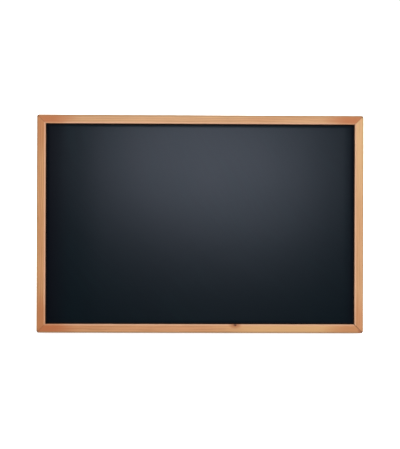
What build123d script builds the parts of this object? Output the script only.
from build123d import *
import os
from math import atan2, cos, radians, sin, tan

# A counter-top menu chalkboard on a folding easel leg. A chalk panel sits in a mitred pine frame,
# and a single wooden prop leg is pinned behind it. Open, the leg's bevelled heel lands flat on its
# steel bracket and stops it. Folded, the whole leg lies inside the frame's hollow back, so that the
# board can also hang flat from its two sawtooth hangers.
#
# Millimetres and degrees. The object stands on Z = 0, faces -Y and leans back towards +Y. The
# origin is on the table, in the middle of the space that the standing object takes up.
# "Depth" is measured from the frame's front face towards its back.

# ---- Driving dimensions ----
board_width = 600.0
board_height = 400.0
frame_depth = 24.0
rail_face = 16.0  # how wide a rail looks from the front
lip_thickness = 5.0  # the front lip that holds the backer in
rabbet_width = 6.0  # how far the lip reaches over the backer's edge
corner_radius = 4.0
edge_radius = 1.2
inner_chamfer = 0.9
back_chamfer = 0.8
open_mitre = 1.1  # degrees by which the lower right mitre has opened
rest_flat = 4.0  # width of the flat planed along the lower rear edge

lean_angle = 18.0  # the board from upright
open_angle = 26.0  # the leg from the board

shadow_gap = 2.5  # dark gap around the chalk panel
panel_recess = 2.0
panel_corner = 1.0
panel_edge_radius = 0.4
backer_thickness = 6.0
backer_clearance = 0.5

leg_thickness = 10.0
head_width = 40.0
foot_width = 64.0
head_length = 48.0  # parallel part of the leg below the pin
heel_height = 20.0  # the leg above the pin
leg_edge_radius = 1.5
foot_pad_thickness = 2.5
pivot_height = 366.0  # the pin above the frame's lower edge, along the board
fold_clearance = 0.6  # folded leg to bracket plate
heel_clearance = 0.1  # open leg's heel to bracket plate

plate_thickness = 1.5
plate_width = 72.0
plate_height = 40.0
plate_rise = 3.0  # the plate's middle above the pin
plate_corner = 4.0
ear_radius = 5.4
ear_root = 9.0  # half the ear's width where it meets the plate
pin_radius = 2.0
running_clearance = 0.06
washer_thickness = 0.9
washer_radius = 5.0
washer_gap = 0.05  # each side of a washer
pin_head_radius = 3.6
pin_head_thickness = 1.2
pin_head_round = 0.7
pin_end_chamfer = 0.4
pin_end = 1.2  # the pin past its push nut
push_nut_radius = 4.2
push_nut_thickness = 0.8
push_nut_teeth = 6
push_nut_slit = (1.4, 0.5)
bracket_play = 0.1  # pin head and push nut to the ears
bracket_screw_columns = 29.5
bracket_screw_rows = (-11.0, 17.0)  # from the pin's row

clip_sheet = 1.2
clip_width = 14.0
clip_flange = 7.4
clip_foot = 12.5
clip_bend = 0.3  # inside radius
clip_corner = 2.5
clip_wall_gap = 0.3
clip_screw_out = 4.4  # screw from the rabbet wall
clip_screw_play = 0.2
clip_columns = (75.0, 250.0)  # along the top and bottom rails, each side of the middle
clip_rows = (120.0, 280.0)  # up the stiles

hanger_length = 45.0
hanger_height = 8.0
hanger_sheet = 0.8
hanger_rise = 1.6
hanger_raised = 26.0  # length of the raised, toothed middle
hanger_ramp = 2.0
hanger_end_radius = 2.6
hanger_column = 190.0
tooth_pitch = 2.4
tooth_count = 9
tooth_notch = (2.2, 1.4)
nail_column = 18.5  # nail from the hanger's middle
nail_play = 0.1

bumper_radius = 4.5
bumper_height = 3.5
bumper_taper = 8.0
bumper_round = 1.0
bumper_row = 22.0

nail_fit = 0.02  # round hole around a nail's or screw's shank

# ---- Places worked out from them ----
lean = radians(lean_angle)
leg_lean = radians(open_angle - lean_angle)  # the open leg from upright
rail_wall = rail_face - rabbet_width
backer_rear = lip_thickness + backer_thickness
plate_rear = backer_rear + plate_thickness
half_leg = leg_thickness / 2
pivot_depth = plate_rear + fold_clearance + half_leg
hollow = frame_depth - backer_rear  # depth of the frame's back behind the backer

up_board = Vector(0, sin(lean), cos(lean))
behind_board = Vector(0, cos(lean), -sin(lean))
up_leg = Vector(0, -sin(leg_lean), cos(leg_lean))
behind_leg = Vector(0, cos(leg_lean), sin(leg_lean))

# The frame's lower rear edge, before its flat is planed, is this far under the table top.
edge_drop = rest_flat * sin(lean) * cos(lean)
# The pin and the leg's rear corner on the table, from that edge.
pin_from_edge = up_board * pivot_height + behind_board * (pivot_depth - frame_depth)
pin_z = pin_from_edge.Z - edge_drop
leg_rear_length = (pin_z + half_leg * sin(leg_lean)) / cos(leg_lean)
rear_corner = pin_from_edge + behind_leg * half_leg - up_leg * leg_rear_length
front_y = -frame_depth * cos(lean) + edge_radius * (sin(lean) + cos(lean) - 1)
lower_edge = Vector(0, -(front_y + rear_corner.Y) / 2, -edge_drop)
pin_centre = lower_edge + pin_from_edge

# On these planes Y runs up the board or leg. The rear ones are seen from behind, so their X is -X.
front_plane = Plane(lower_edge - behind_board * frame_depth, x_dir=(1, 0, 0), z_dir=behind_board * -1)
rear_plane = Plane(lower_edge, x_dir=(-1, 0, 0), z_dir=behind_board)
backer_plane = rear_plane.offset(-hollow)
leg_plane = Plane(pin_centre, x_dir=(-1, 0, 0), z_dir=behind_leg)
# Across the pin: X runs up the board and Y towards its front.
pin_plane = Plane(pin_centre, x_dir=up_board, z_dir=(1, 0, 0))
table = Plane.XY

middle = board_height / 2
front_ward = Axis(front_plane.origin, front_plane.z_dir)


def on_rear(x, y, turn=0.0, plane=rear_plane):
    """A place on the board's back, seen from behind, turned by some degrees."""
    return plane.location * Location((x, y, 0), (0, 0, turn))


# Where the clips sit: local Y points out across the rail, from the rabbet's wall.
clip_places = []
for column in clip_columns:
    for x in (-column, column):
        clip_places.append(on_rear(x, board_height - rail_wall))
        clip_places.append(on_rear(x, rail_wall, 180))
for y in clip_rows:
    clip_places.append(on_rear(board_width / 2 - rail_wall, y, -90))
    clip_places.append(on_rear(rail_wall - board_width / 2, y, 90))

hanger_places = [on_rear(x, board_height - rail_wall / 2) for x in (hanger_column, -hanger_column)]

corner_places = [
    on_rear(-board_width / 2, 0, 0),
    on_rear(board_width / 2, 0, 90),
    on_rear(board_width / 2, board_height, 180),
    on_rear(-board_width / 2, board_height, 270),
]

screw_spots = [
    (x, pivot_height + y) for x in (-bracket_screw_columns, bracket_screw_columns) for y in bracket_screw_rows
]
bracket_screw_places = [on_rear(x, y, 0, backer_plane.offset(plate_thickness)) for x, y in screw_spots]


# ---- Fasteners ----
def screw(head_radius, head_height, shank_radius, length):
    """A pan-head wood screw with a cross recess, pointing down -Z from under its head."""
    tip_length = 1.6 * shank_radius
    crown_radius, rim_height = 0.55 * head_radius, 0.45 * head_height
    recess_length, recess_width, recess_depth = 1.3 * head_radius, 0.34 * head_radius, 0.55 * head_height
    with BuildPart() as made:
        with BuildSketch(Plane.XZ):
            with BuildLine():
                Polyline(
                    (0, head_height),
                    (crown_radius, head_height),
                    (head_radius, rim_height),
                    (head_radius, 0),
                    (shank_radius, 0),
                    (shank_radius, tip_length - length),
                    (0, -length),
                    close=True,
                )
            make_face()
        revolve(axis=Axis.Z)
        with Locations((0, 0, head_height - recess_depth / 2)):
            Box(recess_length, recess_width, recess_depth, mode=Mode.SUBTRACT)
            Box(recess_width, recess_length, recess_depth, mode=Mode.SUBTRACT)
    return made.part


def group(piece, places):
    """Copies of one small piece, as separate solids of one node."""
    with BuildPart() as made:
        with Locations(*places):
            add(piece)
    return made


clip_screw_radius, clip_screw_length = 1.4, 12.0
clip_screw = screw(2.8, 1.9, clip_screw_radius, clip_screw_length)
bracket_screw_radius, bracket_screw_length = 1.75, 6.6
bracket_screw = screw(3.4, 2.2, bracket_screw_radius, bracket_screw_length)

nail_radius, nail_length = 0.75, 10.0
nail_head_radius, nail_head_height, nail_head_round = 1.6, 0.6, 0.35
with BuildPart() as hanger_nail:
    with BuildSketch():
        Circle(nail_radius)
    extrude(amount=-nail_length)
    with BuildSketch():
        Circle(nail_head_radius)
    extrude(amount=nail_head_height)
    fillet(hanger_nail.edges().sort_by(Axis.Z)[-1], nail_head_round)

# A V-nail is an angle of thin steel driven across a mitre. Its corner points at the frame's corner.
v_nail_arm, v_nail_sheet, v_nail_depth, v_nail_sunk = 4.5, 0.6, 9.0, 0.2
v_nail_steps = (2.6, 6.0)  # from the frame's corner along both edges
with BuildPart() as corner_pair:
    with BuildSketch(Plane.XY.offset(-v_nail_sunk)):
        for step in v_nail_steps:
            with Locations((step, step)):
                Rectangle(v_nail_arm, v_nail_sheet, align=(Align.MIN, Align.MIN))
                Rectangle(v_nail_sheet, v_nail_arm, align=(Align.MIN, Align.MIN))
    extrude(amount=-v_nail_depth)

corner_v_nails = group(corner_pair.part, corner_places)
clip_screw_places = [place * Location((0, clip_screw_out, clip_sheet)) for place in clip_places]
clip_screws = group(clip_screw, clip_screw_places)
bracket_screws = group(bracket_screw, bracket_screw_places)
hanger_nail_places = [
    place * Location((x, 0, hanger_sheet)) for place in hanger_places for x in (-nail_column, nail_column)
]
hanger_nails = group(hanger_nail.part, hanger_nail_places)


# ---- Frame: one blank with all its moulding and holes, cut into four mitred rails ----
with BuildPart() as frame_blank:
    with BuildSketch(front_plane.offset(-frame_depth)):
        with Locations((0, middle)):
            RectangleRounded(board_width, board_height, corner_radius)
            Rectangle(board_width - 2 * rail_face, board_height - 2 * rail_face, mode=Mode.SUBTRACT)
    extrude(amount=frame_depth)
    fillet(frame_blank.faces().sort_by(front_ward)[-1].outer_wire().edges(), edge_radius)
    chamfer(frame_blank.faces().sort_by(front_ward)[0].outer_wire().edges(), back_chamfer)
    chamfer(frame_blank.faces().sort_by(front_ward)[-1].inner_wires()[0].edges(), inner_chamfer)
    with BuildSketch(front_plane.offset(-frame_depth)):
        with Locations((0, middle)):
            Rectangle(board_width - 2 * rail_wall, board_height - 2 * rail_wall)
    extrude(amount=frame_depth - lip_thickness, mode=Mode.SUBTRACT)
    with Locations(*clip_screw_places):
        Hole(clip_screw_radius + nail_fit, clip_screw_length + clip_sheet)
    with Locations(*hanger_nail_places):
        Hole(nail_radius + nail_fit, nail_length + hanger_sheet)
    add(corner_v_nails.part, mode=Mode.SUBTRACT)
    split(bisect_by=table, keep=Keep.TOP)  # planes the flat that the frame stands on


def mitre(x, y, turn):
    """The plane across one corner, seen from the front. Turn is the direction of its face."""
    corner = front_plane.from_local_coords(Vector(x, y, 0))
    across = front_plane.from_local_coords(Vector(cos(radians(turn)), sin(radians(turn)), 0))
    return Plane(corner, z_dir=across - front_plane.origin)


def rail(*cuts):
    """The piece of the blank in front of every cut."""
    with BuildPart() as made:
        add(frame_blank.part)
        for cut in cuts:
            split(bisect_by=cut, keep=Keep.TOP)
    return made


right_x, left_x = board_width / 2, -board_width / 2
top_rail = rail(mitre(left_x, board_height, 45), mitre(right_x, board_height, 135))
left_stile = rail(mitre(left_x, board_height, 225), mitre(left_x, 0, 135))
right_stile = rail(mitre(right_x, board_height, 315), mitre(right_x, 0, 45))
bottom_rail = rail(mitre(left_x, 0, 315), mitre(right_x, 0, 225 + open_mitre))

# ---- Chalk panel, glued to the front of the plywood backer ----
opening_width = board_width - 2 * rail_face
opening_height = board_height - 2 * rail_face
with BuildPart() as chalk_panel:
    with BuildSketch(front_plane.offset(-lip_thickness)):
        with Locations((0, middle)):
            RectangleRounded(opening_width - 2 * shadow_gap, opening_height - 2 * shadow_gap, panel_corner)
    extrude(amount=lip_thickness - panel_recess)
    fillet(chalk_panel.faces().sort_by(front_ward)[-1].edges(), panel_edge_radius)

backer_side = rail_wall + backer_clearance
with BuildPart(backer_plane) as backer_board:
    with BuildSketch(backer_plane):
        with Locations((0, middle)):
            Rectangle(board_width - 2 * backer_side, board_height - 2 * backer_side)
    extrude(amount=-backer_thickness)
    with Locations(*screw_spots):
        Hole(bracket_screw_radius + nail_fit, bracket_screw_length - plate_thickness)

# ---- Offset clips: Z-shaped steel from the frame's back down on to the backer ----
clip_bends = (clip_bend + clip_sheet, clip_bend)
with BuildPart() as one_clip:
    with BuildSketch(Plane.YZ):
        with BuildLine():
            inner = -clip_wall_gap - clip_sheet
            foot_end = inner - clip_foot
            FilletPolyline(
                (clip_flange, clip_sheet),
                (inner, clip_sheet),
                (inner, clip_sheet - hollow),
                (foot_end, clip_sheet - hollow),
                radius=clip_bends,
            )
            FilletPolyline(
                (foot_end, -hollow),
                (-clip_wall_gap, -hollow),
                (-clip_wall_gap, 0),
                (clip_flange, 0),
                radius=clip_bends,
            )
            Line((clip_flange, clip_sheet), (clip_flange, 0))
            Line((foot_end, -hollow), (foot_end, clip_sheet - hollow))
        make_face()
    extrude(amount=clip_width / 2, both=True)
    ends = one_clip.edges().filter_by(Axis.Z).group_by(Axis.Y)
    fillet(ends[0] + ends[-1], clip_corner)
    with Locations((0, clip_screw_out, clip_sheet)):
        Hole(clip_screw_radius + clip_screw_play, 2 * clip_sheet)
offset_clips = group(one_clip.part, clip_places)

# ---- Sawtooth hangers, nailed to the top rail's back ----
with BuildPart() as one_hanger:
    raised, foot = hanger_raised / 2, hanger_raised / 2 + hanger_ramp
    top = hanger_rise + hanger_sheet
    bend = hanger_sheet * tan(atan2(hanger_rise, hanger_ramp) / 2)
    with BuildSketch(Plane.XZ):
        with BuildLine():
            Polyline(
                (-hanger_length / 2, 0),
                (-foot, 0),
                (-raised, hanger_rise),
                (raised, hanger_rise),
                (foot, 0),
                (hanger_length / 2, 0),
                (hanger_length / 2, hanger_sheet),
                (foot + bend, hanger_sheet),
                (raised + bend, top),
                (-raised - bend, top),
                (-foot - bend, hanger_sheet),
                (-hanger_length / 2, hanger_sheet),
                close=True,
            )
        make_face()
    extrude(amount=hanger_height / 2, both=True)
    tips = one_hanger.edges().filter_by(Axis.Z).group_by(Axis.X)
    fillet(tips[0] + tips[-1], hanger_end_radius)
    notch_width, notch_depth = tooth_notch
    with BuildSketch(Plane.XY.offset(-hanger_sheet)):
        with Locations((0, -hanger_height / 2)):
            with GridLocations(tooth_pitch, 0, tooth_count, 1):
                Polygon((-notch_width / 2, 0), (notch_width / 2, 0), (0, notch_depth), align=None)
    extrude(amount=2 * top, mode=Mode.SUBTRACT)
    with Locations((-nail_column, 0, hanger_sheet), (nail_column, 0, hanger_sheet)):
        Hole(nail_radius + nail_play, 2 * hanger_sheet)

# ---- Rubber bumpers, low on the stiles' backs ----
with BuildPart() as one_bumper:
    with BuildSketch():
        Circle(bumper_radius)
    extrude(amount=bumper_height, taper=bumper_taper)
    fillet(one_bumper.edges().sort_by(Axis.Z)[-1], bumper_round)

# ---- Pivot bracket, its pin and the pin's push nut ----
ear_inner = head_width / 2 + washer_thickness + 2 * washer_gap
ear_outer = ear_inner + plate_thickness
with BuildPart(backer_plane) as pivot_bracket:
    with BuildSketch(backer_plane):
        with Locations((0, pivot_height + plate_rise)):
            RectangleRounded(plate_width, plate_height, plate_corner)
    extrude(amount=plate_thickness)
    for inside in (ear_inner, -ear_outer):
        with BuildSketch(pin_plane.offset(inside)):
            Circle(ear_radius)
            with BuildLine():
                root = pivot_depth - plate_rear
                Polyline(
                    (-ear_radius, 0),
                    (ear_radius, 0),
                    (ear_root, root),
                    (-ear_root, root),
                    close=True,
                )
            make_face()
        extrude(amount=plate_thickness)
    with BuildSketch(pin_plane):
        Circle(pin_radius + running_clearance)
    extrude(amount=plate_width, both=True, mode=Mode.SUBTRACT)
    with Locations(*[(x, y, plate_thickness) for x, y in screw_spots]):
        Hole(bracket_screw_radius + clip_screw_play, plate_thickness)

pin_side = ear_outer + bracket_play
with BuildPart() as pivot_pin:
    with BuildSketch(pin_plane.offset(-pin_side)):
        Circle(pin_radius)
    extrude(amount=2 * pin_side + push_nut_thickness + pin_end)
    with BuildSketch(pin_plane.offset(-pin_side)):
        Circle(pin_head_radius)
    extrude(amount=-pin_head_thickness)
    ends = pivot_pin.edges().filter_by(GeomType.CIRCLE).sort_by(Axis.X)
    fillet(ends[0], pin_head_round)
    chamfer(ends[-1], pin_end_chamfer)

with BuildPart() as pin_push_nut:
    with BuildSketch(pin_plane.offset(pin_side)):
        Circle(push_nut_radius)
        Circle(pin_radius + nail_fit, mode=Mode.SUBTRACT)
        with PolarLocations(pin_radius + push_nut_slit[0] / 2, push_nut_teeth):
            Rectangle(*push_nut_slit, mode=Mode.SUBTRACT)
    extrude(amount=push_nut_thickness)

# ---- Prop leg, cut from one blank together with the rubber under its foot ----
heel_plane = rear_plane.offset(plate_rear + heel_clearance - frame_depth)
leg_long = leg_rear_length + leg_thickness
with BuildPart() as leg_blank:
    with BuildSketch(leg_plane):
        with BuildLine():
            Polyline(
                (-head_width / 2, heel_height),
                (head_width / 2, heel_height),
                (head_width / 2, -head_length),
                (foot_width / 2, -leg_long),
                (-foot_width / 2, -leg_long),
                (-head_width / 2, -head_length),
                close=True,
            )
        make_face()
    extrude(amount=half_leg, both=True)
    long_faces = leg_blank.faces().sort_by(Axis(pin_centre, leg_plane.z_dir))
    fillet(long_faces[0].edges() + long_faces[-1].edges(), leg_edge_radius)
    with BuildSketch(pin_plane):
        Circle(pin_radius + running_clearance)
    extrude(amount=head_width, both=True, mode=Mode.SUBTRACT)
    split(bisect_by=heel_plane, keep=Keep.TOP)

with BuildPart() as prop_leg:
    add(leg_blank.part)
    split(bisect_by=table.offset(foot_pad_thickness), keep=Keep.TOP)

with BuildPart() as foot_pad:
    add(leg_blank.part)
    split(bisect_by=table.offset(foot_pad_thickness), keep=Keep.BOTTOM)
    split(bisect_by=table, keep=Keep.TOP)

with BuildPart() as pivot_washers:
    for inside in (head_width / 2 + washer_gap, -head_width / 2 - washer_gap - washer_thickness):
        with BuildSketch(pin_plane.offset(inside)):
            Circle(washer_radius)
            Circle(pin_radius + running_clearance, mode=Mode.SUBTRACT)
        extrude(amount=washer_thickness)

# ---- Write one STEP file for each piece ----
pieces = {
    "top_rail": top_rail.part,
    "bottom_rail": bottom_rail.part,
    "left_stile": left_stile.part,
    "right_stile": right_stile.part,
    "chalk_panel": chalk_panel.part,
    "backer_board": backer_board.part,
    "corner_v_nails": corner_v_nails.part,
    "offset_clips": offset_clips.part,
    "clip_screws": clip_screws.part,
    "hanger_nails": hanger_nails.part,
    "pivot_bracket": pivot_bracket.part,
    "bracket_screws": bracket_screws.part,
    "pivot_pin": pivot_pin.part,
    "pin_push_nut": pin_push_nut.part,
    "prop_leg": prop_leg.part,
    "foot_pad": foot_pad.part,
    "pivot_washers": pivot_washers.part,
}
bumper_column = board_width / 2 - rail_wall / 2
sides = (("left", 1), ("right", -1))  # as seen from the front, on planes seen from behind
for (side, sign), place in zip(sides, hanger_places):
    pieces[f"{side}_sawtooth_hanger"] = place * one_hanger.part
    pieces[f"{side}_wall_bumper"] = on_rear(sign * bumper_column, bumper_row) * one_bumper.part

os.makedirs("parts", exist_ok=True)
for name, piece in pieces.items():
    piece.label = name
    export_step(piece, f"parts/{name}.step")

# Its outline and the places where it meets the world, in metres.
whole = Compound(children=list(pieces.values())).bounding_box()
rail_rest = lower_edge + Vector(0, rest_flat * sin(lean) ** 2 - rest_flat / 2, edge_drop)
foot_rest = lower_edge + rear_corner - Vector(0, half_leg / cos(leg_lean), 0)
writing_face = front_plane.from_local_coords(Vector(0, middle, -panel_recess))
places = {
    "lowest corner": whole.min,
    "highest corner": whole.max,
    "pin": pin_centre,
    "rail's rest": rail_rest,
    "foot's rest": foot_rest,
    "writing face": writing_face,
    "left hanger": hanger_places[0].position,
    "right hanger": hanger_places[1].position,
}
for name, place in places.items():
    print(name, [round(value / 1000, 6) for value in place])
